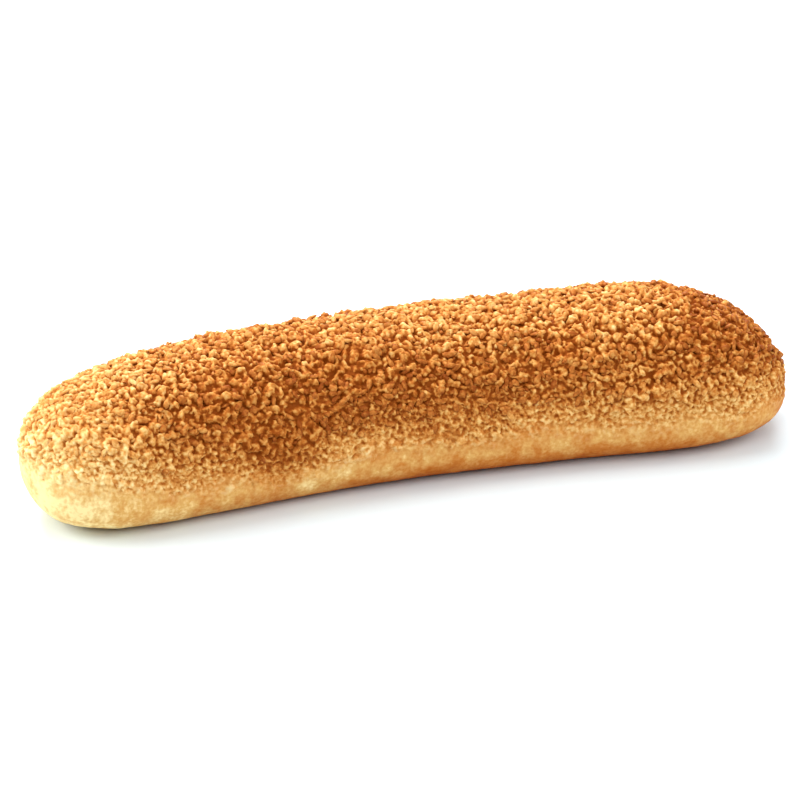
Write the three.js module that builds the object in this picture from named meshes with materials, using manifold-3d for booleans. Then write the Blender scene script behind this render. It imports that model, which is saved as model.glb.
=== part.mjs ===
// Sesame half baguette: one short loaf with round ends and a slight bow, thickly coated with
// toasted sesame over its top and sides, and bare round its pale base.
//
// Millimetres, +Z up. The loaf lies along X on its flat underside at z = 0, its middle bowed
// towards +Y, and the origin is the bottom centre of its box.

import * as THREE from "three";
import { mergeVertices } from "three/addons/utils/BufferGeometryUtils.js";
import Module from "manifold-3d";

// Driving dimensions.
const LENGTH = 270;
const WIDTH = 63;
const HEIGHT = 50;
const GRAIN = 3.4; // length of one plump sesame seed

// Form of the loaf. A share along it runs from -1 at the left end to 1 at the right end.
const BOW = 0.054 * LENGTH; // how far the middle stands behind the line between the ends
const WIDEST_HEIGHT = 0.33 * HEIGHT; // height of the widest line above the surface it lies on
const LEFT_END_LIFT = 0.19 * HEIGHT; // how much higher the widest line runs at the left tip
const END_BLUNTNESS = 6.6; // power that keeps the thickness nearly level until the ends
const END_ROUNDNESS = 2; // power of the ends' own curve, 2 being an ellipse
const TAPER = 0.038; // the right half is wider than the left by this share
const WAIST = 0.07; // the loaf is wider towards its ends than at its middle by this share
const SHOULDER = 2.25; // power of the section's top, 2 being an ellipse
const BELLY = 2.5; // power of the section's lower sides
const FLAT_REACH = 1.22; // above 1, the underside is flat over a strip along its middle
const TIP_LIFT = 0.9; // power of the fullness with which the underside lifts off at the tips

// Slow swellings of the top, from uneven dough: where, how high and how long.
const SWELLS = [
  { along: -0.45, height: 0.014 * HEIGHT, reach: 0.16 },
  { along: 0.3, height: -0.014 * HEIGHT, reach: 0.14 },
  { along: 0.64, height: 0.018 * HEIGHT, reach: 0.15 },
];

// Coat of seeds. It thins out between two heights on the sides.
const COAT_BOTTOM = 0.27 * HEIGHT;
const COAT_FULL = 0.46 * HEIGHT;
const COAT_RELIEF = 0.32 * GRAIN; // how far a knob of the coat stands above or below the rest
const CRUST_RELIEF = 0.03 * GRAIN; // the same on the bare crust
const FACET = 1.22 * GRAIN; // side of a facet in the coat, so that one knob is about two seeds
const BARE_FACET = 2 * FACET; // side of a facet on the bare base
const FLAT_FACET = 5 * FACET; // side of a facet on the flat underside
const LEAST_STEPS = 6; // fewest facets round the loaf, next to its tips

// The largest grains and clumps, which stand proud of the rest of the coat.
const GRAIN_COUNT = 172;
const GRAIN_LENGTHS = [1.15 * GRAIN, 2.1 * GRAIN];
const GRAIN_WIDTH = 0.62; // share of its length
const GRAIN_THICKNESS = 0.46; // share of its length
const GRAIN_TAPER = 0.35; // how much narrower a grain is at its pointed end
const GRAIN_VARIETY = [0.8, 1.25]; // how far a grain's width and thickness depart from these
const GRAIN_SUNK = 0.16; // share of its thickness by which a grain's middle lies under the coat
const GRAIN_TILT = 0.3; // largest lean of a grain against the surface, in radians
const GRAIN_ARC = [-0.2 * Math.PI, 1.2 * Math.PI]; // angles between which grains may lie
const GOLDEN_SHARE = (Math.sqrt(5) - 1) / 2;

const KNOB_SEED = 11;
const GRAIN_SEED = 23;

const CRUST_COLOUR = "#c98a45";

// Repeatable random numbers from 0 to 1.
function seededRandom(seed) {
  let state = seed;
  return () => {
    state = (state + 0x6d2b79f5) | 0;
    let mixed = Math.imul(state ^ (state >>> 15), 1 | state);
    mixed = (mixed + Math.imul(mixed ^ (mixed >>> 7), 61 | mixed)) ^ mixed;
    return ((mixed ^ (mixed >>> 14)) >>> 0) / 2 ** 32;
  };
}

function lerpRange([low, high], share) {
  return low + (high - low) * share;
}

function swellAt(along) {
  return SWELLS.reduce((sum, { along: centre, height, reach }) => {
    return sum + height * Math.exp(-(((along - centre) / reach) ** 2));
  }, 0);
}

// How full the loaf is at a place along it, from 1 at its middle to 0 at its tips.
function fullnessAt(along) {
  return Math.max(0, 1 - Math.abs(along) ** END_BLUNTNESS) ** (1 / END_ROUNDNESS);
}

// How far down the section would reach if nothing were under it, as a share of the height of
// its widest line. Above 1, it is flat where it lies.
function undersideReach(along) {
  return FLAT_REACH * fullnessAt(along) ** TIP_LIFT;
}

// The loaf's smooth skin. The angle goes round the section from +Y over the top.
function skinPoint(along, angle) {
  const fullness = fullnessAt(along);
  const halfWidth = 0.5 * WIDTH * (1 + TAPER * along + WAIST * along ** 2) * fullness;
  const lift = along < 0 ? LEFT_END_LIFT * (1 - fullness) : 0;
  const widest = WIDEST_HEIGHT + lift;
  const across = Math.cos(angle);
  const upward = Math.sin(angle);
  const side = Math.sign(across) * Math.abs(across) ** (2 / SHOULDER);
  const spine = BOW * (1 - along ** 2) - 0.5 * BOW;
  let height;
  if (upward > 0) {
    const crown = (HEIGHT - WIDEST_HEIGHT + swellAt(along)) * fullness;
    height = widest + crown * upward ** (2 / SHOULDER);
  } else {
    const drop = undersideReach(along) * (-upward) ** (2 / BELLY);
    height = widest * (1 - Math.min(1, drop));
  }
  return new THREE.Vector3(0.5 * LENGTH * along, halfWidth * side + spine, height);
}

// Outward direction of the skin at a place.
function skinNormal(along, angle) {
  const step = 1e-3;
  const inner = Math.min(1 - 2 * step, Math.max(-1 + 2 * step, along));
  const lengthways = skinPoint(inner + step, angle).sub(skinPoint(inner - step, angle));
  const sideways = skinPoint(inner, angle + step).sub(skinPoint(inner, angle - step));
  return lengthways.cross(sideways).normalize();
}

// Share of the seeds that a point of the skin carries, from 0 on the base to 1 on top.
function coatAt(point) {
  return THREE.MathUtils.smoothstep(point.z, COAT_BOTTOM, COAT_FULL);
}

// The angle below the widest line at which the section meets its flat underside. Near the
// tips the loaf lifts off, and the angle is that of its lowest line.
function flatEdgeAngle(along) {
  return Math.asin(Math.min(1, 1 / undersideReach(along)) ** (BELLY / 2));
}

// Measures a curve from share 0 to share 1, each stretch counted by its weight. placeAt gives
// the share at which a fraction of the whole has been passed.
function measured(curve, weight = () => 1) {
  const samples = 300;
  const passed = [0];
  let last = curve(0);
  for (let i = 1; i <= samples; i++) {
    const next = curve(i / samples);
    passed.push(passed[i - 1] + next.distanceTo(last) * weight(next));
    last = next;
  }
  const total = passed[samples];
  const placeAt = (fraction) => {
    const target = Math.min(fraction, 1) * total;
    const i = Math.max(1, passed.findIndex((length) => length >= target));
    const part = (target - passed[i - 1]) / (passed[i] - passed[i - 1]);
    return (i - 1 + part) / samples;
  };
  return { total, placeAt };
}

// The loaf's side from tip to tip, by a share from 0 to 1.
function sideLine(share) {
  return skinPoint(2 * share - 1, 0);
}

// Stations from tip to tip, evenly spaced along the loaf's side, without the two tips.
function ringStations() {
  const side = measured(sideLine);
  const steps = Math.round(side.total / FACET);
  return Array.from({ length: steps - 1 }, (_, k) => 2 * side.placeAt((k + 1) / steps) - 1);
}

// Angles of one ring: over the top from one edge of the flat underside to the other, closer
// in the coat than on the bare base, and then across the underside. Every second ring is
// staggered by half a step.
function ringAngles(along, staggered) {
  const edge = flatEdgeAngle(along);
  const start = -edge;
  const sweep = Math.PI + 2 * edge;
  const overTop = measured(
    (share) => skinPoint(along, start + share * sweep),
    (point) => (point.z > COAT_BOTTOM ? 1 : FACET / BARE_FACET),
  );
  const steps = Math.max(LEAST_STEPS, Math.round(overTop.total / FACET));
  const shift = staggered ? -0.5 : 0;
  const angles = [start];
  for (let k = 1; k < steps - shift; k++) {
    angles.push(start + sweep * overTop.placeAt((k + shift) / steps));
  }
  if (undersideReach(along) <= 1) return angles;
  const flatWidth = skinPoint(along, start).distanceTo(skinPoint(along, start + sweep));
  const strips = Math.max(1, Math.round(flatWidth / FLAT_FACET));
  for (let k = 0; k < strips; k++) {
    angles.push(start + sweep + ((2 * Math.PI - sweep) * k) / strips);
  }
  return angles;
}

// A point of the skin with the coat's knobs on it. The flat underside stays flat.
function knobblyPoint(along, angle, random) {
  const point = skinPoint(along, angle);
  if (point.z < 1e-9) return point.setZ(0);
  const relief = lerpRange([CRUST_RELIEF, COAT_RELIEF], coatAt(point));
  point.addScaledVector(skinNormal(along, angle), relief * (2 * random() - 1));
  return point.setZ(Math.max(0, point.z));
}

// Triangles between two rings, which may hold different numbers of points.
function stitch(indices, near, far) {
  const angleOf = ({ angles }, k) => angles[k] ?? angles[0] + 2 * Math.PI;
  const cornerOf = ({ start, angles }, k) => start + (k % angles.length);
  let n = 0;
  let f = 0;
  while (n < near.angles.length || f < far.angles.length) {
    const stepsFar = n >= near.angles.length
      || (f < far.angles.length && angleOf(far, f + 1) <= angleOf(near, n + 1));
    const third = stepsFar ? cornerOf(far, f + 1) : cornerOf(near, n + 1);
    indices.push(cornerOf(far, f), cornerOf(near, n), third);
    if (stepsFar) f++;
    else n++;
  }
}

// Triangles from one ring to the tip beside it.
function fan(indices, tip, ring, outward) {
  const count = ring.angles.length;
  for (let k = 0; k < count; k++) {
    const edge = [ring.start + k, ring.start + ((k + 1) % count)];
    if (!outward) edge.reverse();
    indices.push(tip, ...edge);
  }
}

// The loaf's knobbly skin as one closed geometry.
function loafGeometry() {
  const random = seededRandom(KNOB_SEED);
  const points = [skinPoint(-1, 0)];
  const rings = ringStations().map((along, number) => {
    const ring = { start: points.length, angles: ringAngles(along, number % 2 === 1) };
    points.push(...ring.angles.map((angle) => knobblyPoint(along, angle, random)));
    return ring;
  });
  points.push(skinPoint(1, 0));
  const indices = [];
  fan(indices, 0, rings[0], false);
  for (let r = 1; r < rings.length; r++) stitch(indices, rings[r - 1], rings[r]);
  fan(indices, points.length - 1, rings[rings.length - 1], true);
  const geometry = new THREE.BufferGeometry();
  geometry.setFromPoints(points);
  geometry.setIndex(indices);
  return geometry;
}

// One large grain: a blunt drop with few sides, its long axis along X and its face up.
function grainGeometry(length, random) {
  const drop = new THREE.IcosahedronGeometry(0.5, 0);
  drop.deleteAttribute("normal");
  drop.deleteAttribute("uv");
  const geometry = mergeVertices(drop, 1e-4);
  const position = geometry.getAttribute("position");
  const width = length * GRAIN_WIDTH * lerpRange(GRAIN_VARIETY, random());
  const thickness = length * GRAIN_THICKNESS * lerpRange(GRAIN_VARIETY, random());
  for (let i = 0; i < position.count; i++) {
    const x = position.getX(i);
    const across = width * (1 - GRAIN_TAPER * (0.5 + x));
    position.setXYZ(i, length * x, across * position.getY(i), thickness * position.getZ(i));
  }
  return geometry;
}

// Where the large grains lie: even steps along the coated skin, each turned by the golden
// share round it from the one before.
function grainPlaces() {
  const side = measured(sideLine, (point) => fullnessAt(point.x / (0.5 * LENGTH)));
  return Array.from({ length: GRAIN_COUNT }, (_, i) => {
    const along = 2 * side.placeAt((i + 0.5) / GRAIN_COUNT) - 1;
    const arc = (share) => skinPoint(along, lerpRange(GRAIN_ARC, share));
    const turn = ((i + 0.5) * GOLDEN_SHARE) % 1;
    return { along, angle: lerpRange(GRAIN_ARC, measured(arc, coatAt).placeAt(turn)) };
  });
}

function placedGrain({ along, angle }, random) {
  const length = lerpRange(GRAIN_LENGTHS, random() ** 2);
  const geometry = grainGeometry(length, random);
  const up = skinNormal(along, angle);
  const lengthways = new THREE.Vector3(1, 0, 0).addScaledVector(up, -up.x).normalize();
  const basis = new THREE.Matrix4().makeBasis(lengthways, up.clone().cross(lengthways), up);
  const heading = new THREE.Matrix4().makeRotationZ(2 * Math.PI * random());
  const lean = new THREE.Matrix4().makeRotationY(GRAIN_TILT * (2 * random() - 1));
  const depth = GRAIN_SUNK * GRAIN_THICKNESS * length;
  const centre = skinPoint(along, angle).addScaledVector(up, -depth);
  geometry.applyMatrix4(lean);
  geometry.applyMatrix4(heading);
  geometry.applyMatrix4(basis);
  geometry.translate(centre.x, centre.y, centre.z);
  return geometry;
}

function toSolid(wasm, geometry) {
  const mesh = new wasm.Mesh({
    numProp: 3,
    vertProperties: new Float32Array(geometry.getAttribute("position").array),
    triVerts: new Uint32Array(geometry.getIndex().array),
  });
  return new wasm.Manifold(mesh);
}

function toGeometry(solid) {
  const { vertProperties, triVerts } = solid.getMesh();
  const geometry = new THREE.BufferGeometry();
  geometry.setAttribute("position", new THREE.BufferAttribute(vertProperties, 3));
  geometry.setIndex(new THREE.BufferAttribute(triVerts, 1));
  return geometry;
}

// Only the skin that holds the loaf's left tip. This fills any pocket that a grain seals and
// drops any grain that misses the loaf.
function outerSkin(geometry) {
  const corners = geometry.getIndex().array;
  const owners = Array.from({ length: geometry.getAttribute("position").count }, (_, i) => i);
  const ownerOf = (corner) => {
    let owner = corner;
    while (owners[owner] !== owner) owner = owners[owner];
    owners[corner] = owner;
    return owner;
  };
  for (let i = 0; i < corners.length; i += 3) {
    owners[ownerOf(corners[i + 1])] = ownerOf(corners[i]);
    owners[ownerOf(corners[i + 2])] = ownerOf(corners[i]);
  }
  const position = geometry.getAttribute("position");
  let tip = 0;
  for (let i = 1; i < position.count; i++) {
    if (position.getX(i) < position.getX(tip)) tip = i;
  }
  const kept = [];
  for (let i = 0; i < corners.length; i += 3) {
    if (ownerOf(corners[i]) === ownerOf(tip)) kept.push(...corners.slice(i, i + 3));
  }
  geometry.setIndex(kept);
  return geometry;
}

// Moves the finished loaf so that the origin is the bottom centre of its box.
function centred(geometry) {
  geometry.computeBoundingBox();
  const centre = geometry.boundingBox.getCenter(new THREE.Vector3());
  return geometry.translate(-centre.x, -centre.y, 0);
}

async function seededLoaf() {
  const wasm = await Module();
  wasm.setup();
  const random = seededRandom(GRAIN_SEED);
  let solid = toSolid(wasm, loafGeometry());
  for (const place of grainPlaces()) {
    solid = solid.add(toSolid(wasm, placedGrain(place, random)));
  }
  return centred(outerSkin(toGeometry(solid)));
}

const crust = new THREE.MeshStandardMaterial({
  color: CRUST_COLOUR,
  roughness: 0.72,
  metalness: 0,
  flatShading: true,
});

const loaf = new THREE.Mesh(await seededLoaf(), crust);
loaf.name = "sesame_half_baguette";

const halfBaguette = new THREE.Group();
halfBaguette.add(loaf);

export default halfBaguette;
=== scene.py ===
"""Sesame half baguette: a crust into which a coat of sesame is baked, with loose seeds over it.

Metres, +Z up. The loaf lies along X, its middle bowed towards +Y. The crust repeats the form
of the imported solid. Each grain of the coat is laid on the crust and on the grains already
there. The first ones are baked into the crust and shape its relief, the others are meshes.
"""

import itertools
import math

import bpy
import numpy as np
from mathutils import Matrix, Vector, kdtree, noise


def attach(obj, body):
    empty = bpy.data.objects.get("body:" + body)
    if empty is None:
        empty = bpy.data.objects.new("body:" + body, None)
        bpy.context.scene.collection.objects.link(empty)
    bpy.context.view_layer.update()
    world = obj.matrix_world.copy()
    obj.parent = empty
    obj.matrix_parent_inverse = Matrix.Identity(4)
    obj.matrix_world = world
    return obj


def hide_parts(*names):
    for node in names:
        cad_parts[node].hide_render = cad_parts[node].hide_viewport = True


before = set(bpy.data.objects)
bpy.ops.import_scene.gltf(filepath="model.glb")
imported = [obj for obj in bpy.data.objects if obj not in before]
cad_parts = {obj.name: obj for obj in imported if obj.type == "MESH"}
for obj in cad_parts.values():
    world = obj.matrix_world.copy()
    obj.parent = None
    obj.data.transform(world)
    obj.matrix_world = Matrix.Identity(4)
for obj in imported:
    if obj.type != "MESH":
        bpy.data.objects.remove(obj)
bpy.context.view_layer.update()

MM = 0.001
NODE = "sesame_half_baguette"
BODY = "root"

# ---------------------------------------------------------------- driving dimensions

LENGTH = 270 * MM
WIDTH = 63 * MM
HEIGHT = 50 * MM
SEED = 3.5 * MM  # length of a plump sesame seed

# Form of the loaf. A share along it runs from -1 at the left end to 1 at the right end.
BOW = 0.054 * LENGTH  # how far the middle stands behind the line between the ends
WIDEST_HEIGHT = 0.33 * HEIGHT  # height of the widest line above the floor
LEFT_END_LIFT = 0.19 * HEIGHT  # how much higher the widest line runs at the left tip
END_BLUNTNESS = 6.6  # power that keeps the thickness nearly level until the ends
END_ROUNDNESS = 2  # power of the ends' own curve, 2 being an ellipse
TAPER = 0.038  # the right half is wider than the left by this share
WAIST = 0.07  # the loaf is wider towards its ends than at its middle by this share
SHOULDER = 2.25  # power of the section's top, 2 being an ellipse
BELLY = 2.5  # power of the section's lower sides
FLAT_REACH = 1.22  # above 1, the underside is flat over a strip along its middle
TIP_LIFT = 0.9  # power of the fullness with which the underside lifts off at the tips
SWELLS = [  # slow swellings of the top: where along, how high and how long
    (-0.45, 0.014 * HEIGHT, 0.16),
    (0.30, -0.014 * HEIGHT, 0.14),
    (0.64, 0.018 * HEIGHT, 0.15),
]

SAMPLES_ALONG = 4001  # points at which lengths along the form and round it are measured
SAMPLES_ROUND = 721
BOX_SAMPLES = (401, 241)  # and the same for its box
NOISE_STEPS = (17.3, -9.1, 5.7)  # how far each seed moves the noise
NO_LENGTH = 1e-12  # a vector's length is taken to be at least this
NUDGE = 1e-6  # gives a heading to grains that lie where the skin faces straight up

# ---------------------------------------------------------------- form of the loaf


def smoothstep(value, low, high):
    share = np.clip((value - low) / (high - low), 0, 1)
    return share * share * (3 - 2 * share)


def hill(value, at, reach):
    """A smooth hill one high over the given value, nearly flat again at twice its reach."""
    return np.exp(-(((value - at) / reach) ** 2))


def fullness_at(along):
    return np.maximum(0, 1 - np.abs(along) ** END_BLUNTNESS) ** (1 / END_ROUNDNESS)


def spine_at(along):
    """How far the middle of the section is shifted to the far side by the loaf's bow."""
    return BOW * (1 - along**2) - 0.5 * BOW


def skin(along, angle):
    """Points of the smooth skin. The angle goes round the section from +Y over the top."""
    along, angle = np.broadcast_arrays(along, angle)
    fullness = fullness_at(along)
    half_width = 0.5 * WIDTH * (1 + TAPER * along + WAIST * along**2) * fullness
    widest = WIDEST_HEIGHT + np.where(along < 0, LEFT_END_LIFT * (1 - fullness), 0)
    across, upward = np.cos(angle), np.sin(angle)
    side = np.sign(across) * np.abs(across) ** (2 / SHOULDER)
    swell = sum(height * hill(along, at, reach) for at, height, reach in SWELLS)
    crown = (HEIGHT - WIDEST_HEIGHT + swell) * fullness
    above = widest + crown * np.maximum(upward, 0) ** (2 / SHOULDER)
    drop = FLAT_REACH * fullness**TIP_LIFT * np.maximum(-upward, 0) ** (2 / BELLY)
    below = widest * (1 - np.minimum(1, drop))
    height = np.where(upward > 0, above, below)
    return np.stack([0.5 * LENGTH * along, half_width * side + spine_at(along), height], -1)


def unit(vectors):
    return vectors / np.maximum(np.linalg.norm(vectors, axis=-1, keepdims=True), NO_LENGTH)


def skin_normal(along, angle):
    step = 1e-3
    inner = np.clip(along, -1 + 2 * step, 1 - 2 * step)
    lengthways = skin(inner + step, angle) - skin(inner - step, angle)
    sideways = skin(inner, angle + step) - skin(inner, angle - step)
    return unit(np.cross(sideways, lengthways))


def even_stations(count):
    """Shares along the loaf, evenly spaced down its side, without the two tips."""
    fine = np.sin(np.linspace(-0.5, 0.5, SAMPLES_ALONG) * math.pi)
    steps = np.linalg.norm(np.diff(skin(fine, 0.0), axis=0), axis=1)
    passed = np.concatenate([[0], np.cumsum(steps)])
    return np.interp(np.linspace(0, passed[-1], count + 2)[1:-1], passed, fine)


def even_angles(stations, count):
    """Angles round each station from its lowest line, closer together high up on the loaf."""
    fine = np.linspace(-0.5, 1.5, SAMPLES_ROUND) * math.pi
    sections = skin(stations[:, None], fine[None, :])
    steps = np.linalg.norm(np.diff(sections, axis=1), axis=2)
    steps /= np.where(np.sin(fine[:-1]) < 0, BARE_SPACING, 1)
    passed = np.concatenate([np.zeros((len(stations), 1)), np.cumsum(steps, axis=1)], axis=1)
    shares = np.arange(count) / count
    return np.array([np.interp(shares * row[-1], row, fine) for row in passed])


def centring():
    """What moves the form so that the middle of its box is over the origin, as in the solid."""
    along = np.linspace(-1, 1, BOX_SAMPLES[0])
    angles = np.linspace(0, 2 * math.pi, BOX_SAMPLES[1])
    points = skin(along[:, None], angles[None, :]).reshape(-1, 3)
    middle = (points.min(0) + points.max(0)) / 2
    return np.array([-middle[0], -middle[1], 0])


SHIFT = centring()


def noise_offset(seed):
    return Vector([step * seed for step in NOISE_STEPS])


def waves(points, size, seed):
    """Smooth noise from about -1 to 1, with features of the given size at the given points."""
    offset = noise_offset(seed)
    return np.array([noise.noise(Vector(p) / size + offset) for p in points.tolist()])


def rolling(points, kind):
    """Waves of the kind's height, size and seed."""
    height, size, seed = kind
    return height * waves(points, size, seed)


def warp(points, size, seed):
    """A smooth random shift of each point, from about -1 to 1 on each axis."""
    offset = noise_offset(seed)
    return np.array([noise.noise_vector(Vector(p) / size + offset) for p in points.tolist()])


# ---------------------------------------------------------------- coat and browning

COAT_EDGE = (0.46 * HEIGHT, 0.66 * HEIGHT)  # heights between which the loose grains thin out
BED_EDGE = (0.22 * HEIGHT, 0.47 * HEIGHT)  # the same for the grains baked into the crust
BROWN_EDGE = (0.285 * HEIGHT, 0.75 * HEIGHT)  # heights between which the crust browns
COARSE_EDGE = (0.42 * HEIGHT, 0.90 * HEIGHT)  # and between which the coat coarsens
EDGE_WANDER = 0.07 * HEIGHT  # how far those edges wander up and down
WANDERS = [(1.0, 22 * MM, 1), (0.6, 6 * MM, 2), (0.6, 2.6 * MM, 14)]  # share, size and seed
DIP_PLACE = (-0.37, 0.11)  # share along the loaf and reach of a dip in them
COAT_DIP = 0.05 * HEIGHT  # how far the coat and the browning dip there
BROWN_DIP = 0.19 * HEIGHT
END_RISE = 0.18 * HEIGHT  # how much higher they lie at the left end
END_RISE_SPAN = (0.55, 1.0)  # shares towards that end over which they rise
END_FINER = 0.22 * HEIGHT  # how much further up the grains are fine there
END_FINER_SPAN = (0.45, 1.0)
EDGE_SINKS = 0.5 * MM  # how far the coat sinks into the form at its lower edge, on top,
TOP_SINKS = 1.0 * MM
END_SINKS = 0.7 * MM  # and how much further at the two ends
END_SINKS_SPAN = (0.8, 1.0)
PALE_END = (-1.05, -0.4)  # shares along the loaf between which its paler left end lies
PALE_BAKE = 0.4  # how far that end is baked, beside the rest
SIDE_BAKE = 0.34  # how far the bare sides are baked
CROWN_PAINTED_LIGHT = 0.5  # painted light from above: how much less baked the top is painted than the shoulders
CROWN_EDGE = (0.82 * HEIGHT, 1.0 * HEIGHT)
FOOT_BROWNING_AND_SHADE = 0.43  # browning and painted shade added at the foot of the loaf, more to the right
FOOT_EDGE = (0.04 * HEIGHT, 0.25 * HEIGHT)
FOOT_SPAN = (-0.8, 0.1)
BLOTCHES = (0.07, 32 * MM, 9)  # strength, size and seed
PATCHES = [  # slow changes of the baking: share along, height, reach along and up, and change
    (-0.36, 0.86 * HEIGHT, 0.28, 0.12 * HEIGHT, 0.24),
    (-0.70, 0.95 * HEIGHT, 0.12, 0.10 * HEIGHT, 0.12),
    (-0.95, 0.80 * HEIGHT, 0.15, 0.30 * HEIGHT, 0.15),
    (-0.70, 0.42 * HEIGHT, 0.20, 0.16 * HEIGHT, 0.14),
    (0.30, 0.38 * HEIGHT, 0.30, 0.12 * HEIGHT, 0.07),
    (-0.28, 0.20 * HEIGHT, 0.11, 0.16 * HEIGHT, -0.17),
    (0.02, 0.46 * HEIGHT, 0.11, 0.11 * HEIGHT, 0.15),
    (0.00, 0.42 * HEIGHT, 0.90, 0.08 * HEIGHT, 0.04),
    (-0.44, 0.60 * HEIGHT, 0.16, 0.16 * HEIGHT, 0.06),
    (-0.45, 0.98 * HEIGHT, 0.16, 0.07 * HEIGHT, 0.09),
    (-0.20, 0.88 * HEIGHT, 0.10, 0.10 * HEIGHT, 0.10),
    (0.94, 0.66 * HEIGHT, 0.08, 0.15 * HEIGHT, 0.06),
    (0.85, 0.12 * HEIGHT, 0.25, 0.10 * HEIGHT, -0.10),
    (0.20, 0.80 * HEIGHT, 0.12, 0.12 * HEIGHT, -0.10),
    (0.56, 0.74 * HEIGHT, 0.16, 0.14 * HEIGHT, -0.16),
    (0.86, 0.56 * HEIGHT, 0.10, 0.14 * HEIGHT, -0.14),
    (0.80, 0.92 * HEIGHT, 0.12, 0.16 * HEIGHT, 0.24),
    (1.00, 0.50 * HEIGHT, 0.09, 0.60 * HEIGHT, 0.26),
]
FAR_SIDE_PAINTED_LIGHT = (-0.35, 0.45, -0.18)  # painted light on the far side, as if lit from behind: where along, reach and change of the baking there
FAR_EDGE = 0.2 * WIDTH  # how far beyond the middle that side starts in full
SIZE_AT_EDGE = 0.42  # size of the grains at the lower edge of the coat and on top
SIZE_AT_TOP = 1.18
EDGE_FLATNESS = 0.6  # how thick the grains are at that edge, beside those on top


class Zones:
    """How the coat and the browning stand at each of the given points, as shares."""

    def __init__(self, points):
        self.points = points
        self.along = points[:, 0] / (0.5 * LENGTH)
        level = self.level()
        dip = hill(self.along, *DIP_PLACE)
        self.coat = smoothstep(level + COAT_DIP * dip, *COAT_EDGE)
        self.bed = smoothstep(level + COAT_DIP * dip, *BED_EDGE)
        finer = END_FINER * smoothstep(-self.along, *END_FINER_SPAN)
        self.coarse = smoothstep(level - finer, *COARSE_EDGE)
        self.brown = smoothstep(level + BROWN_DIP * dip, *BROWN_EDGE)
        self.growth = SIZE_AT_EDGE + (SIZE_AT_TOP - SIZE_AT_EDGE) * self.coarse

    def level(self):
        """Height above the base, as the wandering edges of the coat see it."""
        wander = sum(rolling(self.points, kind) for kind in WANDERS)
        rise = END_RISE * smoothstep(-self.along, *END_RISE_SPAN)
        return self.points[:, 2] + EDGE_WANDER * wander - rise

    def bake(self):
        """How far the loaf is baked, from 0 at the palest dough to 1 on its shoulders, with painted
        light on its top and far side and painted shade at its foot.
        """
        height = self.points[:, 2]
        from_left = smoothstep(self.along, *PALE_END)
        # painted light: the top is painted paler, as the light from above falls on it
        crown = 1 - CROWN_PAINTED_LIGHT * smoothstep(height, *CROWN_EDGE)
        blotches = rolling(self.points, BLOTCHES)
        upper = self.brown * (crown * (PALE_BAKE + (1 - PALE_BAKE) * from_left) + blotches)
        # the foot is browner, partly from baking and partly as painted shade near the floor
        foot = 1 - smoothstep(height, *FOOT_EDGE)
        foot *= FOOT_BROWNING_AND_SHADE * smoothstep(self.along, *FOOT_SPAN)
        baked = SIDE_BAKE * from_left + (1 - SIDE_BAKE) * upper + foot + self.patches()
        return np.clip(baked, 0, 1)

    def patches(self):
        """The slow changes of the baking on all sides, and the painted light that pales the far
        side alone.
        """
        height = self.points[:, 2]
        changes = sum(
            change * hill(self.along, at, reach) * hill(height, middle, up)
            for at, middle, reach, up, change in PATCHES
        )
        far_side = smoothstep(self.points[:, 1] - spine_at(self.along) - SHIFT[1], 0, FAR_EDGE)
        # painted light: the far side is painted paler, as the light from behind falls on it
        at, reach, change = FAR_SIDE_PAINTED_LIGHT
        return changes + change * far_side * hill(self.along, at, reach)


# ---------------------------------------------------------------- mesh making


def make_mesh(name, vertices, faces, smooth=True):
    mesh = bpy.data.meshes.new(name)
    corners = np.concatenate([np.asarray(group).ravel() for group in faces])
    sizes = np.concatenate([np.full(len(group), len(group[0])) for group in faces])
    mesh.vertices.add(len(vertices))
    mesh.vertices.foreach_set("co", np.asarray(vertices, np.float32).ravel())
    mesh.loops.add(len(corners))
    mesh.loops.foreach_set("vertex_index", corners.astype(np.int32))
    mesh.polygons.add(len(sizes))
    mesh.polygons.foreach_set("loop_start", (np.cumsum(sizes) - sizes).astype(np.int32))
    mesh.polygons.foreach_set("loop_total", sizes.astype(np.int32))
    mesh.polygons.foreach_set("use_smooth", np.full(len(sizes), smooth))
    mesh.update(calc_edges=True)
    mesh.validate()
    piece = bpy.data.objects.new(name, mesh)
    bpy.context.scene.collection.objects.link(piece)
    return piece


def set_values(piece, name, values):
    layer = piece.data.attributes.new(name, "FLOAT", "POINT")
    layer.data.foreach_set("value", np.asarray(values, np.float32).ravel())


def set_bake_map(piece, places):
    layer = piece.data.uv_layers.new(name="OFBake")
    layer.data.foreach_set("uv", np.asarray(places, np.float32).ravel())


# ---------------------------------------------------------------- crust

CRUST_STATIONS = 850
CRUST_ROUND = 430
CRUST_PARTS = 4
BARE_SPACING = 2.2  # how much wider the points are spaced low down than under the coat
SWELLING = (0.40 * MM, 42 * MM, 3)  # height, size and noise seed of each kind of relief
DOUGH_LUMPS = (0.30 * MM, 13 * MM, 4)
COAT_LUMPS = (0.35 * MM, 6.5 * MM, 10)
WRINKLES = (0.20 * MM, 5.5 * MM, 7)
WRINKLE_DRAW = np.array([1, 0.35, 0.35])  # draws the wrinkles out up the sides
SKIN_GRIT = (0.14 * MM, 1.7 * MM, 8)
GRAIN_GRIT = (0.42 * MM, 1.25 * MM, 12)
FLAT_FADE = 4 * MM  # the relief dies out over this height above the flat underside
GRAIN_WARP = (0.58 * MM, 1.4 * MM, 11)  # how far baked-in grains are pulled out of shape
GRAIN_REACH = 1.2  # how many half lengths from its base a grain, which may lean, is looked for
RIDGES = (0.8 * MM, 2.3 * MM, 13)  # the ridges that run over the fused grains
RIDGE_LEVEL = 0.2  # share of their height that stands above the mean
CLEFTS = (0.5 * MM, 4.2 * MM, 15)  # the clefts that wind through the coat
CLEFT_WIDTH = 0.2  # how far from zero the noise that they follow may be within them
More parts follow.
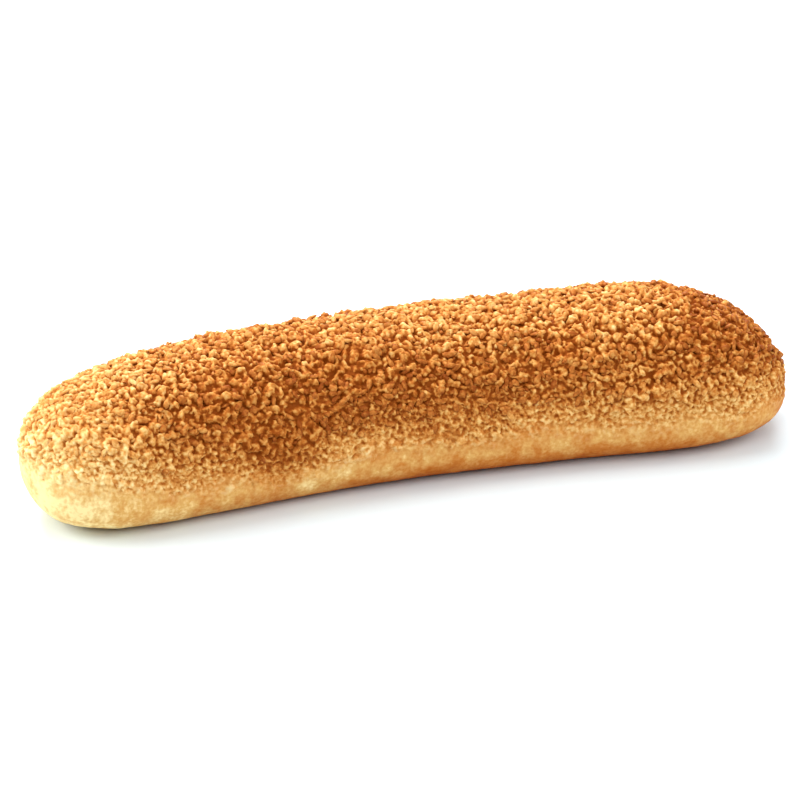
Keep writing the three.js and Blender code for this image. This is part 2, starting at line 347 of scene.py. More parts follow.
SOFTENING = 0.35  # how far each point of the relief is evened out with its neighbours
CREASE_DEPTH = 0.25 * MM  # how deep the creases round the grains are
FINE_REACH = 3  # points over which the level round a pit is taken, finely and broadly
BROAD_REACH = 8
FINE_DEPTH = 0.3 * MM  # how far below those levels a pit gets its darkest painted shade
BROAD_DEPTH = 0.8 * MM
PIT_PAINTED_SHADE = 0.6  # painted shade and light: how much darker each pit is painted, and how much paler each ridge
RIDGE_PAINTED_LIGHT = 0.16
EDGE_PITS = 0.5  # how strong that is at the lower edge of the coat
SEAM_OVERLAP = 8  # stations by which the parts of the crust run on into each other
SEAM_DEPTH = 1 * MM


def dough_relief(zones):
    """How far the dough under the coat stands out from the form."""
    points = zones.points
    bare = 1 - zones.bed
    relief = rolling(points, SWELLING)
    relief += rolling(points, DOUGH_LUMPS)
    relief += zones.coat * rolling(points, COAT_LUMPS)
    relief += bare * rolling(points * WRINKLE_DRAW, WRINKLES)
    relief += bare * rolling(points, SKIN_GRIT)
    sunk = EDGE_SINKS + (TOP_SINKS - EDGE_SINKS) * zones.coarse
    sunk += END_SINKS * smoothstep(np.abs(zones.along), *END_SINKS_SPAN)
    return relief * smoothstep(points[:, 2], 0, FLAT_FADE) - sunk * zones.bed


def spread_out(values, reach):
    """The mean of each value and its neighbours within reach, along the loaf and round it."""
    for axis in (0, 1):
        total = values.copy()
        for step in range(1, reach + 1):
            for shift in (step, -step):
                total += np.roll(values, shift, axis=axis)
        values = total / (2 * reach + 1)
    return values


def baked_in_relief(points, grains):
    """How high the baked-in grains stand over each point, and which of them is on top there."""
    tree = kdtree.KDTree(len(points))
    for i, point in enumerate(points.tolist()):
        tree.insert(point, i)
    tree.balance()
    pull, size, seed = GRAIN_WARP
    warped = points + pull * warp(points, size, seed)
    rise = np.zeros(len(points))
    topmost = np.full(len(points), -1)
    for i, base in enumerate(grains.bases.tolist()):
        reach = GRAIN_REACH * grains.halves[i, 0] + pull
        near = np.array([j for _, j, _ in tree.find_range(base, reach)])
        if len(near) == 0:
            continue
        top = grains.heights_over(warped[near], grains.ups[i], [i])
        higher = top > rise[near]
        rise[near[higher]] = top[higher]
        topmost[near[higher]] = i
    return rise, topmost


def crease_lines(rise, topmost):
    """How far each point lies in a crease at the foot of a higher grain, from 0 to 1."""
    higher = np.zeros(rise.shape)
    for axis in (0, 1):
        for shift in (1, -1):
            other = topmost != np.roll(topmost, shift, axis=axis)
            higher += other & (np.roll(rise, shift, axis=axis) > rise)
    return np.minimum(higher / 2, 1)


def ridges(points):
    """The height of the winding ridges over each point."""
    height, size, seed = RIDGES
    return height * (RIDGE_LEVEL - np.abs(waves(points, size, seed)))


def clefts(points):
    """How deep the clefts are at each point, which wind where a slow noise passes zero."""
    depth, size, seed = CLEFTS
    across = np.abs(waves(points, size, seed)) / CLEFT_WIDTH
    return depth * np.maximum(1 - across, 0)


def pit_painted_shade(rise):
    """Painted shade and light: how much darker each point is painted for lying in a pit, or paler
    for lying on a ridge.
    """
    fine = (spread_out(rise, FINE_REACH) - rise) / FINE_DEPTH
    broad = (spread_out(rise, BROAD_REACH) - rise) / BROAD_DEPTH
    depth = np.clip((fine + broad) / 2, -1, 1)
    return np.where(depth > 0, PIT_PAINTED_SHADE, RIDGE_PAINTED_LIGHT) * depth


def coat_relief(points, zones, grains):
    """How high the coat stands over each point of the dough, and which grain is on top there."""
    rise, topmost = baked_in_relief(points, grains)
    rise += zones.growth * (ridges(points) - clefts(points))
    rise = zones.bed * (rise + rolling(points, GRAIN_GRIT))
    grid = (CRUST_STATIONS, CRUST_ROUND)
    rise = rise.reshape(grid)
    creases = crease_lines(rise, topmost.reshape(grid))
    rise -= CREASE_DEPTH * zones.growth.reshape(grid) * zones.bed.reshape(grid) * creases
    return (1 - SOFTENING) * rise + SOFTENING * spread_out(rise, 1), topmost


def make_crust(grains, toast):
    """The crust in a few parts, with the relief of the grains that are baked into it."""
    stations = even_stations(CRUST_STATIONS)
    angles = even_angles(stations, CRUST_ROUND)
    along = np.repeat(stations[:, None], CRUST_ROUND, axis=1)
    points = skin(along, angles).reshape(-1, 3) + SHIFT
    normals = skin_normal(along, angles).reshape(-1, 3)
    zones = Zones(points)
    points = points + normals * dough_relief(zones)[:, None]
    rise, topmost = coat_relief(points, zones, grains)
    points += normals * rise.reshape(-1, 1)
    points[:, 2] = np.maximum(points[:, 2], 0)

    grid = rise.shape
    bake = zones.bake()
    toasting = np.where(topmost >= 0, toast[topmost], PALEST_TOAST + TOAST_PER_BAKE * bake)
    values = {
        "bake": bake.reshape(grid),
        "coat": zones.bed.reshape(grid),
        "toast": spread_out(toasting.reshape(grid), 1),
        # painted shade in the coat's hollows and painted light on its ridges
        "painted_pit_shade": pit_painted_shade(rise) * (EDGE_PITS + (1 - EDGE_PITS) * zones.coarse.reshape(grid)),
    }
    points, normals = points.reshape(*grid, 3), normals.reshape(*grid, 3)
    tips = skin(np.array([-1.0, 1.0]), 0.0) + SHIFT
    return [crust_part(number, points, normals, tips, values) for number in range(CRUST_PARTS)]


def crust_part(number, points, normals, tips, values):
    """One part of the crust, which sinks under its neighbour past the seam between them."""
    first = round(number * CRUST_STATIONS / CRUST_PARTS)
    last = round((number + 1) * CRUST_STATIONS / CRUST_PARTS)
    rows = np.arange(max(first - SEAM_OVERLAP, 0), min(last + SEAM_OVERLAP, CRUST_STATIONS))
    beyond = np.where(first > 0, first - rows, 0)
    if last < CRUST_STATIONS:
        beyond = np.maximum(beyond, rows - last)
    sunk = SEAM_DEPTH * (np.maximum(beyond, 0) / SEAM_OVERLAP) ** 2
    placed = points[rows] - normals[rows] * sunk[:, None, None]
    left = tips[0] if first == 0 else placed[0].mean(0)
    right = tips[1] if last == CRUST_STATIONS else placed[-1].mean(0)
    layers = {name: layer[rows] for name, layer in values.items()}
    return close_tube(f"bread_crust_{number + 1}", placed, (left, right), layers)


def close_tube(name, points, tips, values):
    """A tube through rings of points, closed by a fan to the tip at each end."""
    count, around = points.shape[:2]
    vertices = np.concatenate([points.reshape(-1, 3), tips])
    left_tip, right_tip = count * around, count * around + 1
    ring = np.arange(around)
    onward = (ring + 1) % around
    rows = np.arange(count - 1)[:, None] * around
    quads = np.stack([rows + ring, rows + onward, rows + around + onward, rows + around + ring], -1)
    last = (count - 1) * around
    left_fan = np.stack([onward, ring, np.full(around, left_tip)], -1)
    right_fan = np.stack([last + ring, last + onward, np.full(around, right_tip)], -1)
    tube = make_mesh(name, vertices, [quads.reshape(-1, 4), left_fan, right_fan])
    for key, layer in values.items():
        set_values(tube, key, np.concatenate([layer.ravel(), [layer[0].mean(), layer[-1].mean()]]))

    across = np.stack([ring, ring + 1, ring + 1, ring], -1) / around
    lengthwise = (np.arange(count) + 1) / (count + 1)
    near, far = lengthwise[:-1], lengthwise[1:]
    down = np.stack([near, near, far, far], -1)
    quad_map = np.stack(np.broadcast_arrays(down[:, None], across[None]), -1)
    set_bake_map(tube, np.concatenate([
        quad_map.reshape(-1, 2),
        fan_map(0.0, lengthwise[0], across[:, [1, 0]]),
        fan_map(1.0, lengthwise[-1], across[:, [0, 1]]),
    ]))
    return tube


def fan_map(tip_place, ring_place, across):
    """Places on the bake map for the triangles between a tip and its nearest ring."""
    corners = np.empty((len(across), 3, 2))
    corners[:, :2, 0] = ring_place
    corners[:, :2, 1] = across
    corners[:, 2, 0] = tip_place
    corners[:, 2, 1] = across.mean(1)
    return corners.reshape(-1, 2)


# ---------------------------------------------------------------- laying the grains

PRESSED_IN = 0.42  # share of a grain's thickness that is pressed into the dough
RESTING_IN = 0.56  # the same for a grain that lies on others
STEEPEST = math.radians(30)  # steepest tilt that a grain settles at on its neighbours
LOOSE_TILT = math.radians(10)  # random tilt on top of that
CHOICES = 4  # places tried for each grain, of which it takes the lowest
ON_DOUGH = 0.3  # a grain lies on the dough if less than this share of its thickness is below it
PLACE_JITTER = 0.35  # how far places are moved at random, beside their spacing
PLASTIC = 1.32471795724474602596  # the plastic number, whose powers spread places evenly
GROUND_STATIONS = 200  # points of the sampling of the skin, along the loaf and round it
GROUND_ROUND = 280
FOOTPRINT_REACH = 0.7  # share of a grain's halves at which it touches what is below
FOOTPRINT = FOOTPRINT_REACH * np.array([[0, 0], [1, 0], [-1, 0], [0, 1], [0, -1]])


class Ground:
    """A sampling of the skin, on which grains are given places."""

    def __init__(self):
        self.stations = even_stations(GROUND_STATIONS)
        self.angles = np.linspace(-0.5, 1.5, GROUND_ROUND + 1)[:-1] * math.pi
        along, angle = np.meshgrid(self.stations, self.angles, indexing="ij")
        points = skin(along, angle)
        self.area = np.linalg.norm(np.roll(points, -1, axis=1) - points, axis=2)
        self.zones = Zones(points.reshape(-1, 3) + SHIFT)

    def places(self, count, density, rng):
        """Places spread evenly by density: shares along the loaf and angles round it."""
        weight = self.area * density.reshape(self.area.shape)
        by_station = np.concatenate([[0], np.cumsum(weight.sum(1))])
        turns = (np.arange(count) + 0.5)[:, None] / PLASTIC ** np.array([1, 2]) % 1
        turns = (turns + rng.normal(0, PLACE_JITTER / math.sqrt(count), turns.shape)) % 1
        where = np.interp(turns[:, 0] * by_station[-1], by_station, np.arange(len(by_station)))
        rows = np.minimum(where.astype(int), len(self.stations) - 1)
        along = np.interp(where, np.arange(len(self.stations)) + 0.5, self.stations)
        angle = np.empty(count)
        for i, row in enumerate(rows):
            passed = np.concatenate([[0], np.cumsum(weight[row])])
            angle[i] = np.interp(turns[i, 1] * passed[-1], passed, np.arange(len(passed)))
        return along, (-0.5 + 2 * angle / len(self.angles)) * math.pi


class Grains:
    """Grains that lie on the dough: where, which way up, and how big."""

    def __init__(self, halves):
        count = len(halves)
        self.halves = halves
        self.bases = np.zeros((count, 3))
        self.ups = np.zeros((count, 3))
        self.centres = np.zeros((count, 3))
        self.axes = np.zeros((count, 3, 3))

    def some(self, which):
        part = Grains(self.halves[which])
        for name in ("bases", "ups", "centres", "axes"):
            setattr(part, name, getattr(self, name)[which])
        return part

    def heights_over(self, origins, up, which):
        """How far up from each origin the tops of those grains stand."""
        if not which:
            return np.zeros(len(origins))
        offsets = origins[None] - self.centres[which][:, None]
        halves = self.halves[which]
        start = np.einsum("mij,mkj->mki", self.axes[which], offsets) / halves[:, None]
        slope = (self.axes[which] @ up) / halves
        linear = (start * slope[:, None]).sum(-1)
        square = (slope * slope).sum(-1)[:, None]
        inside = linear**2 - square * ((start * start).sum(-1) - 1)
        reached = (np.sqrt(np.maximum(inside, 0)) - linear) / square
        return np.maximum(np.where(inside > 0, reached, 0).max(0), 0)

    def settle(self, i, base, up, heading, loose, below):
        """Lays grain i on the dough at the base and on the grains below it."""
        length, width, thickness = self.halves[i]
        reference = unit(np.cross(np.array([0.0, 0.0, 1.0]), up) + NUDGE)
        forward = math.cos(heading) * reference + math.sin(heading) * np.cross(up, reference)
        side = np.cross(up, forward)
        steps = FOOTPRINT * (length, width)
        origins = base + steps[:, :1] * forward + steps[:, 1:] * side
        tops = self.heights_over(origins, up, below)
        rest = max(tops[0], (tops[1] + tops[2]) / 2, (tops[3] + tops[4]) / 2)
        pitch = math.atan2(tops[1] - tops[2], 2 * FOOTPRINT_REACH * length)
        roll = math.atan2(tops[3] - tops[4], 2 * FOOTPRINT_REACH * width)
        pitch = float(np.clip(pitch, -STEEPEST, STEEPEST)) + loose[0]
        roll = float(np.clip(roll, -STEEPEST, STEEPEST)) + loose[1]
        forward = math.cos(pitch) * forward + math.sin(pitch) * up
        side = math.cos(roll) * side + math.sin(roll) * up
        top = unit(np.cross(forward, side))
        depth = PRESSED_IN if rest < ON_DOUGH * thickness else RESTING_IN
        self.bases[i] = base
        self.ups[i] = up
        self.centres[i] = base + up * (rest + thickness * (1 - 2 * depth))
        self.axes[i] = np.stack([forward, np.cross(top, forward), top])


def lay_grains(along, angle, halves, rng):
    """Lays grains one by one on the dough or on those below.

    Each grain has several places to choose from, and takes the one with the least below it.
    """
    normals = skin_normal(along, angle)
    bases = skin(along, angle) + SHIFT
    bases += normals * dough_relief(Zones(bases))[:, None]
    tree = kdtree.KDTree(len(bases))
    for i, base in enumerate(bases.tolist()):
        tree.insert(base, i)
    tree.balance()
    grains = Grains(halves)
    taken = np.full(len(bases), -1)  # which grain each place has
    reach = halves[:, 0].max()
    for i in range(len(halves)):
        lowest = math.inf
        for option in range(CHOICES * i, CHOICES * (i + 1)):
            near = tree.find_range(bases[option], FOOTPRINT_REACH * halves[i, 0] + reach)
            around = [taken[j] for _, j, _ in near if taken[j] >= 0]
            height = grains.heights_over(bases[option][None], normals[option], around)[0]
            if height < lowest:
                lowest, place, below = height, option, around
        heading = rng.uniform(0, 2 * math.pi)
        grains.settle(i, bases[place], normals[place], heading, rng.normal(0, LOOSE_TILT, 2), below)
        taken[place] = i
    return grains


# ---------------------------------------------------------------- grain shapes

GRAIN_BEND = 0.16  # spread of how far the grains are bent
GRAIN_TAPER = 0.14  # and of how much narrower one end of them is
BEND_LEVEL = 0.1  # keeps a bent grain where it is
TIP_CURVE = 1.5  # how late a seed narrows towards its tip
EDGE_SLACK = 1.01  # spans up to this many times the shortest one are edges of the ball
MAP_MARGIN = 0.08  # free border of each grain's cell in the bake map


def drop_template(sides, rings, pointed):
    """A drop one unit long, wide and thick, its tip at +X. Gives its points and faces."""
    places = -np.cos(np.linspace(0, math.pi, rings + 2)[1:-1]) / 2
    turns = np.arange(sides) / sides * 2 * math.pi
    points = []
    for place in places:
        radius = math.sqrt(0.25 - place**2) * (1 - pointed * (place + 0.5) ** TIP_CURVE)
        for turn in turns:
            points.append((place, radius * math.cos(turn), radius * math.sin(turn)))
    points += [(-0.5, 0, 0), (0.5, 0, 0)]
    faces = []
    for r in range(rings - 1):
        for s in range(sides):
            a, b = r * sides + s, r * sides + (s + 1) % sides
            faces += [(a, b, b + sides), (a, b + sides, a + sides)]
    blunt, sharp = rings * sides, rings * sides + 1
    last = (rings - 1) * sides
    for s in range(sides):
        onward = (s + 1) % sides
        faces += [(blunt, onward, s), (sharp, last + s, last + onward)]
    return np.array(points), np.array(faces)


def seed_template():
    return drop_template(sides=6, rings=5, pointed=0.38)


def ball_template():
    """A ball of twenty equal faces, one unit across."""
    golden = (1 + math.sqrt(5)) / 2
    points = []
    for a in (-1, 1):
        for b in (-golden, golden):
            points += [(0, a, b), (a, b, 0), (b, 0, a)]
    points = 0.5 * unit(np.array(points, float))
    faces = []
    longest = EDGE_SLACK * min(np.linalg.norm(points[0] - p) for p in points[1:])
    for i, j, k in itertools.combinations(range(len(points)), 3):
        corners = points[[i, j, k]]
        spans = np.linalg.norm(corners - np.roll(corners, 1, axis=0), axis=1)
        if spans.max() < longest:
            facing = np.cross(corners[1] - corners[0], corners[2] - corners[0])
            outward = np.dot(facing, corners.sum(0)) > 0
            faces.append((i, j, k) if outward else (i, k, j))
    return points, np.array(faces)


def lump_template():
    """The ball again, with each face split into four."""
    points, faces = ball_template()
    points = points.tolist()
    middles = {}

    def middle(i, j):
        pair = (min(i, j), max(i, j))
        if pair not in middles:
            middles[pair] = len(points)
            between = np.add(points[i], points[j])
            points.append(list(0.5 * between / np.linalg.norm(between)))
        return middles[pair]

    split = []
    for i, j, k in faces.tolist():
        ij, jk, ki = middle(i, j), middle(j, k), middle(k, i)
        split += [(i, ij, ki), (ij, j, jk), (ki, jk, k), (ij, jk, ki)]
    return np.array(points), np.array(split)


def grain_bake_map(template, faces, count):
    """A cell of the bake map for each grain: its upper half on the left, its lower on the right."""
    columns = math.ceil(math.sqrt(count))
    number = np.arange(count)
    cell = np.stack([number % columns, number // columns], -1) / columns
    lower = template[faces].mean(1)[:, 2] < 0
    local = template[faces][:, :, :2] + 0.5
    local = MAP_MARGIN + (1 - 2 * MAP_MARGIN) * local
    local[:, :, 0] = 0.5 * (local[:, :, 0] + lower[:, None])
    return (cell[:, None, None, :] + local[None] / columns).reshape(-1, 2)


def join_grains(name, template, faces, grains, rng, unevenness, toast):
    """One mesh of many copies of a template, each bent and uneven in its own way."""
    count = len(grains.centres)
    points = np.repeat(template[None], count, axis=0)
    bend = rng.normal(0, GRAIN_BEND, (count, 1))
    taper = rng.normal(0, GRAIN_TAPER, (count, 1))
    points[:, :, 2] += bend * (points[:, :, 0] ** 2 - BEND_LEVEL)
    points[:, :, 1] *= 1 + taper * points[:, :, 0] * 2
    points += rng.normal(0, unevenness, points.shape)
    points *= 2 * grains.halves[:, None, :]
    points = grains.centres[:, None, :] + np.einsum("nvi,nij->nvj", points, grains.axes)
    corners = faces[None] + (np.arange(count) * len(template))[:, None, None]
    piece = make_mesh(name, points.reshape(-1, 3), [corners.reshape(-1, 3)])
    set_values(piece, "toast", np.repeat(toast, len(template)))
    set_values(piece, "lengthwise", np.tile(template[:, 0] + 0.5, count))
    set_values(piece, "height", np.einsum("nvi,ni->nv", points - grains.bases[:, None], grains.ups))
    set_bake_map(piece, grain_bake_map(template, faces, count))
    return piece


# ---------------------------------------------------------------- materials


def linear(red, green, blue):
    """A screen colour, each part from 0 to 255, as the linear colour that shaders take."""
    parts = [part / 255 for part in (red, green, blue)]
    return tuple(p / 12.92 if p <= 0.04045 else ((p + 0.055) / 1.055) ** 2.4 for p in parts) + (1,)


class Shader:
    """A material under construction: each call adds one node and links what it is given."""

    def __init__(self, name, roughness):
        self.material = bpy.data.materials.new(name)
        self.material.use_nodes = True
        self.tree = self.material.node_tree
        self.surface = self.tree.nodes["Principled BSDF"]
        self.surface.inputs["Roughness"].default_value = roughness

    def put(self, socket, value):
        if isinstance(value, bpy.types.NodeSocket):
            self.tree.links.new(value, socket)
        else:
            socket.default_value = value

    def give(self, name, value):
        """Gives the surface itself a value."""
        self.put(self.surface.inputs[name], value)

    def add(self, kind, output, inputs=None, **settings):
        node = self.tree.nodes.new(kind)
        for name, value in settings.items():
            setattr(node, name, value)
        for name, value in (inputs or {}).items():
            self.put(node.inputs[name], value)
        return node.outputs[output]

    def attribute(self, name):
        return self.add("ShaderNodeAttribute", "Fac", attribute_name=name)

    def place(self):
        return self.add("ShaderNodeTexCoord", "Object")

    def noise(self, size, detail, stretch):
        scaled = {"Vector": self.place(), "Scale": stretch}
        fine = {"Scale": 1 / size, "Detail": detail}
        fine["Vector"] = self.add("ShaderNodeMapping", "Vector", scaled)
        return self.add("ShaderNodeTexNoise", "Fac", fine)

    def fit(self, value, low, high, at_low, at_high):
        """A value that goes from at_low to at_high while the given one goes from low to high."""
        spans = {"Value": value, 1: low, 2: high, 3: at_low, 4: at_high}
        return self.add("ShaderNodeMapRange", "Result", spans)

    def total(self, first, *others):
        for other in others:
            first = self.add("ShaderNodeMath", "Value", {0: first, 1: other}, operation="ADD")
        return first

    def mix(self, share, first, second):
        colours = {"Factor": share, 6: first, 7: second}
        return self.add("ShaderNodeMix", 2, colours, data_type="RGBA")

    def ramp(self, value, stops):
        node = self.tree.nodes.new("ShaderNodeValToRGB")
        while len(node.color_ramp.elements) < len(stops):
            node.color_ramp.elements.new(0.5)
        for element, (place, colour) in zip(node.color_ramp.elements, stops):
            element.position = place
            element.color = colour
        self.put(node.inputs["Fac"], value)
        return node.outputs["Color"]

    def unevenness(self, kind, detail, stretch=(1, 1, 1)):
        """A noise of the kind's size, as a change of up to its strength."""
        size, strength = kind
        return self.fit(self.noise(size, detail, stretch), *NOISE_SPAN, -strength, strength)

    def bump(self, kind, detail, stretch=(1, 1, 1), normal=None):
        """Fine relief of the kind's size, depth and strength, over the given normal."""
        size, depth, strength = kind
        height = self.noise(size, detail, stretch)
        inputs = {"Height": height, "Distance": depth, "Strength": strength}
        if normal:
            inputs["Normal"] = normal
        return self.add("ShaderNodeBump", "Normal", inputs)


NOISE_SPAN = (0.35, 0.65)  # most values of a noise lie between these
UPWARD = (1, 0.5, 0.5)  # draws a noise out up the sides of the loaf
CRUST_MOTTLING = (7 * MM, 0.12)  # size of each unevenness of colour, and how strong it is
CRUST_STREAKS = (1.6 * MM, 0.06)
CRUST_BLISTERS = (1.2 * MM, 0.07)
COAT_SPECKS = (1.6 * MM, 0.22)
GRAIN_SPECKS = (1.3 * MM, 0.14)
WRINKLE_BUMP = (2.2 * MM, 0.3 * MM, 0.7)  # size, depth and strength
PORE_BUMP = (0.5 * MM, 0.06 * MM, 0.6)

# Browning and painted shade that change between two places, and how strong they are at the first
# and the second.
FOOT_BROWN_AND_SHADE = (0.3 * MM, 2.5 * MM, 0.25, 0.0)  # heights on the crust: a browner foot, partly painted shade where the loaf meets the floor
LOW_PAINTED_SHADE = (0.0, 2.2 * MM, 0.34, 0.0)  # painted shade low on a loose grain, where it rests on the crust: heights above the crust
TIP_BROWN = (0.6, 1.0, 0.0, 0.06)  # shares along a loose grain

CRUST_BAKING = [  # colours of the crust from the palest to the darkest
    (0.00, (250, 221, 156)),
    (0.24, (221, 168, 94)),
    (0.50, (200, 122, 50)),
    (0.75, (182, 94, 14)),
    (1.00, (160, 74, 6)),
]
TOASTING = [  # colours of the grains from the palest to the most toasted
    (0.00, (250, 230, 172)),
    (0.25, (239, 198, 128)),
    (0.50, (215, 153, 79)),
    (0.75, (183, 108, 40)),
    (1.00, (142, 67, 6)),
]
PALEST_TOAST = 0.1  # toasting of the grains where the loaf is palest
TOAST_PER_BAKE = 0.74  # and how much is added where it is baked to the full


def ramp_stops(colours):
    return [(place, linear(*colour)) for place, colour in colours]


def crust_material():
    """Baked crust, browner at its foot and painted with shade along the floor, and toasted sesame
    where the coat is baked into it, painted darker in its hollows and paler on its ridges as shade
    and light.
    """
    shader = Shader("crust", roughness=0.65)
    height = shader.add("ShaderNodeSeparateXYZ", "Z", {0: shader.place()})
    baking = shader.total(
        shader.attribute("bake"),
        shader.unevenness(CRUST_MOTTLING, detail=5),
        shader.unevenness(CRUST_STREAKS, detail=3, stretch=UPWARD),
        shader.unevenness(CRUST_BLISTERS, detail=2),
        # a browner foot, partly painted shade where the loaf meets the floor
        shader.fit(height, *FOOT_BROWN_AND_SHADE),
    )
    toasting = shader.total(
        shader.attribute("toast"),
        shader.unevenness(COAT_SPECKS, detail=2),
        # painted shade in the coat's hollows and painted light on its ridges
        shader.attribute("painted_pit_shade"),
    )
    bare = shader.ramp(baking, ramp_stops(CRUST_BAKING))
    coated = shader.ramp(toasting, ramp_stops(TOASTING))
    shader.give("Base Color", shader.mix(shader.attribute("coat"), bare, coated))
    shader.give("Specular IOR Level", 0.1)
    wrinkles = shader.bump(WRINKLE_BUMP, detail=5, stretch=UPWARD)
    shader.give("Normal", shader.bump(PORE_BUMP, detail=3, normal=wrinkles))
    return shader.material


def grain_material():
    """Toasted sesame: each grain has its own toasting, is browner at its tip, and is painted darker
    low down as shade where it rests on the crust.
    """
    shader = Shader("grains", roughness=0.6)
    toasting = shader.total(
        shader.attribute("toast"),
        shader.unevenness(GRAIN_SPECKS, detail=2),
        shader.fit(shader.attribute("lengthwise"), *TIP_BROWN),
        # painted shade low on each grain, where it rests on the crust
        shader.fit(shader.attribute("height"), *LOW_PAINTED_SHADE),
    )
    shader.give("Base Color", shader.ramp(toasting, ramp_stops(TOASTING)))
    shader.give("Specular IOR Level", 0.15)
    return shader.material


# ---------------------------------------------------------------- the coat


class Kind:
    """A kind of grain: how many there are, how big, and how densely they lie at each place.

    Each size is the least and the greatest. Width and thickness are shares of the length.
    """

    def __init__(self, count, lengths, width, thickness, density):
        self.count = count
        self.lengths = lengths
        self.width = width
        self.thickness = thickness
        self.density = density

    def sizes(self, rng):
        length = rng.uniform(*self.lengths, self.count)
        width = length * rng.uniform(*self.width, self.count)
        thickness = length * rng.uniform(*self.thickness, self.count)
        return np.stack([length, width, thickness], -1)


RANDOM_SEED = 7
HEAPED = 0.07  # share of the grains that lie in heaps
HEAP_SIZE = 7  # how many lie in each
HEAP_SPREAD = 1.3 * MM  # and how far apart
LAST_SHARE = 0.999  # share along the loaf beyond which no grain lies
TOAST_VARIETY = 0.06  # spread of the toasting among the grains
SEED_TONE = -0.12  # how much less toasted the loose seeds and clumps are
CLUMP_TONE = -0.06
SEED_UNEVENNESS = 0.03  # how far the points of those are moved, as shares of their size
CLUMP_UNEVENNESS = 0.055


def heap_some(along, angle, rng):
    """Moves some of the grains into small heaps."""
    heaps = int(HEAPED * len(along) / HEAP_SIZE)
    movers = rng.permutation(len(along))[: heaps * HEAP_SIZE].reshape(heaps, HEAP_SIZE)
    spread = rng.normal(0, HEAP_SPREAD, (2, heaps, HEAP_SIZE, CHOICES))
    shares = along[movers[:, :1], :1] + spread[0] / (0.5 * LENGTH)
    along[movers] = np.clip(shares, -LAST_SHARE, LAST_SHARE)
    angle[movers] = angle[movers[:, :1], :1] + spread[1] / (0.5 * WIDTH)


BAKED_IN, LOOSE_SEED, LOOSE_CLUMP = range(3)  # the kinds, as they are listed below


def kinds_of_grain(zones):
    spread = zones.bed / zones.growth**2  # the smaller the grains are, the more lie there
    return [
        Kind(19000, (0.6 * SEED, 1.15 * SEED), (0.45, 0.8), (0.4, 0.64), spread),
        Kind(900, (0.86 * SEED, 1.1 * SEED), (0.5, 0.66), (0.28, 0.4), zones.coat),
        Kind(700, (0.5 * SEED, 0.9 * SEED), (0.6, 0.95), (0.5, 0.75), zones.coat),
    ]


def choose_grains(rng):
    """The kind, the size and the possible places of each grain, in the order of laying."""
    ground = Ground()
    kinds = kinds_of_grain(ground.zones)
    kind_of = np.concatenate([np.full(kind.count, i) for i, kind in enumerate(kinds)])
    along = np.empty((len(kind_of), CHOICES))
    angle = np.empty((len(kind_of), CHOICES))
    sizes = np.empty((len(kind_of), 3))
    for i, kind in enumerate(kinds):
        own = kind_of == i
        places = ground.places(kind.count * CHOICES, kind.density, rng)
        along[own], angle[own] = (values.reshape(-1, CHOICES) for values in places)
        sizes[own] = kind.sizes(rng)
    order = rng.permutation(len(kind_of))
    order = order[np.argsort(kind_of[order] != BAKED_IN, kind="stable")]
    kind_of, sizes, along, angle = kind_of[order], sizes[order], along[order], angle[order]
    heap_some(along, angle, rng)
    return kind_of, sizes, along, angle


def make_loaf():
    """Lays all the grains, and makes the crust with those baked into it and the loose ones."""
    rng = np.random.default_rng(RANDOM_SEED)
    kind_of, sizes, along, angle = choose_grains(rng)
    zones = Zones(skin(along[:, 0], angle[:, 0]) + SHIFT)
    sizes *= zones.growth[:, None]
    sizes[:, 2] *= EDGE_FLATNESS + (1 - EDGE_FLATNESS) * zones.coarse
    grains = lay_grains(along.ravel(), angle.ravel(), sizes / 2, rng)
    toast = PALEST_TOAST + TOAST_PER_BAKE * Zones(grains.bases).bake()
    toast += rng.normal(0, TOAST_VARIETY, len(kind_of)) * zones.growth / SIZE_AT_TOP

    baked_in, seeds, clumps = (kind_of == i for i in (BAKED_IN, LOOSE_SEED, LOOSE_CLUMP))
    crust = make_crust(grains.some(baked_in), toast[baked_in])
    loose = [
        join_grains("sesame_seeds", *seed_template(), grains.some(seeds), rng,
                    SEED_UNEVENNESS, toast[seeds] + SEED_TONE),
        join_grains("sesame_clumps", *lump_template(), grains.some(clumps), rng,
                    CLUMP_UNEVENNESS, toast[clumps] + CLUMP_TONE),
    ]
    for pieces, material in ((crust, crust_material()), (loose, grain_material())):
        for piece in pieces:
            piece.data.materials.append(material)
    return crust, loose


# ---------------------------------------------------------------- stage, light and camera

CAMERA_BEARING = -15.9  # degrees round from straight in front
CAMERA_ELEVATION = 30.0
CAMERA_DISTANCE = 1.5
AIM = np.array([-1.2, -0.2, 23.3]) * MM  # where the camera looks, on the form before centring
PIXEL = 0.342 * MM  # what one pixel of the 800-pixel frame spans there
FRAME_PIXELS = 800
SENSOR = 36.0
CLIPPING = (0.05, 20)  # nearest and farthest distance that the camera sees
FLOOR_HALF = 6.0

LIGHTS = [  # name, bearing from the camera's, elevation, distance, size and watts
    ("key", -145, 52, 1.3, 0.45, 8),
    ("top", 180, 80, 1.4, 1.0, 8.5),
    ("left", -85, 34, 1.3, 0.7, 12),
    ("front", -5, 50, 1.6, 1.0, 10.5),
    ("right", 80, 35, 1.4, 0.8, 8.5),
    ("rim", 178, 30, 1.3, 0.6, 10),
]
WORLD_LIGHT = 0.2
FLOOR_COLOUR = (0.78, 0.88, 0.93, 1)  # cool, so that the loaf's warm glow leaves its shadow grey


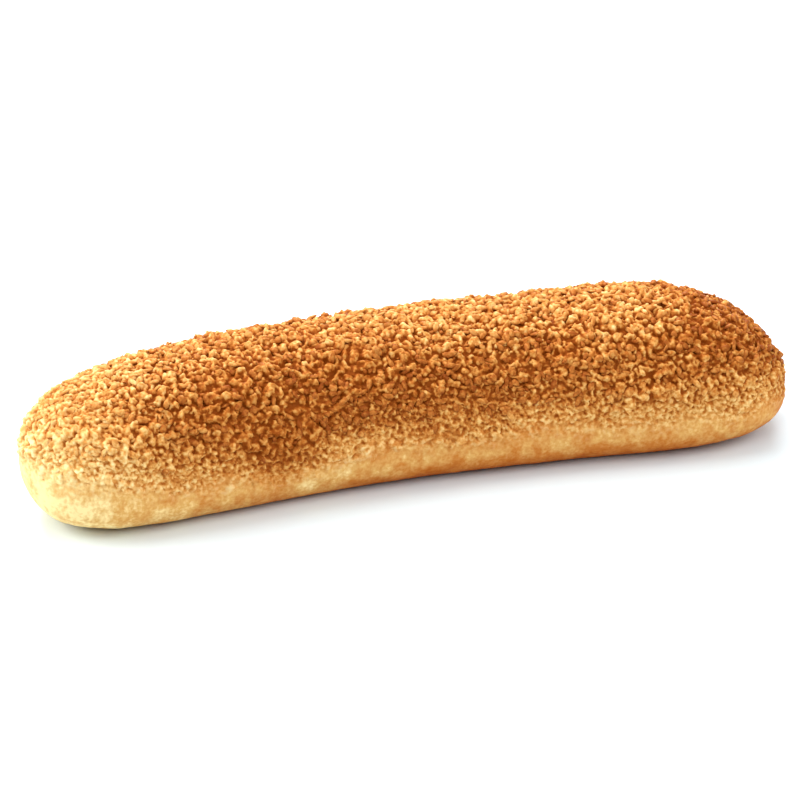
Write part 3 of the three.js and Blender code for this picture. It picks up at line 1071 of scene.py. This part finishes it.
def direction(bearing, elevation):
    turn, rise = math.radians(bearing), math.radians(elevation)
    flat = math.cos(rise)
    return Vector((math.sin(turn) * flat, -math.cos(turn) * flat, math.sin(rise)))


def make_camera():
    data = bpy.data.cameras.new("camera")
    camera = bpy.data.objects.new("camera", data)
    bpy.context.scene.collection.objects.link(camera)
    back = direction(CAMERA_BEARING, CAMERA_ELEVATION)
    camera.location = Vector(AIM + SHIFT) + back * CAMERA_DISTANCE
    camera.rotation_mode = "QUATERNION"
    camera.rotation_quaternion = (-back).to_track_quat("-Z", "Y")
    data.sensor_width = SENSOR
    data.lens = CAMERA_DISTANCE / PIXEL / FRAME_PIXELS * SENSOR
    data.clip_start, data.clip_end = CLIPPING
    bpy.context.scene.camera = camera


def make_light(name, bearing, elevation, distance, size, watts):
    """A square soft light. Its bearing is counted from the camera's, to the right."""
    data = bpy.data.lights.new(name, "AREA")
    data.shape = "SQUARE"
    data.size = size
    data.energy = watts
    light = bpy.data.objects.new(name, data)
    bpy.context.scene.collection.objects.link(light)
    towards = direction(CAMERA_BEARING + bearing, elevation)
    light.location = towards * distance
    light.rotation_mode = "QUATERNION"
    light.rotation_quaternion = towards.to_track_quat("Z", "Y")


def make_stage():
    half = FLOOR_HALF
    corners = [(-half, -half, 0), (half, -half, 0), (half, half, 0), (-half, half, 0)]
    floor = make_mesh("floor", corners, [np.array([[0, 1, 2, 3]])], smooth=False)
    shader = Shader("floor", roughness=0.9)
    shader.give("Base Color", FLOOR_COLOUR)
    shader.give("Specular IOR Level", 0.1)
    floor.data.materials.append(shader.material)
    world = bpy.data.worlds.new("world")
    bpy.context.scene.world = world
    world.use_nodes = True
    background = world.node_tree.nodes["Background"]
    background.inputs["Color"].default_value = (1, 1, 1, 1)
    background.inputs["Strength"].default_value = WORLD_LIGHT
    for light in LIGHTS:
        make_light(*light)


bpy.context.scene.view_settings.view_transform = "Standard"
make_camera()
make_stage()
crust_pieces, loose_pieces = make_loaf()
for piece in crust_pieces + loose_pieces:
    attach(piece, BODY)
    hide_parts(NODE)
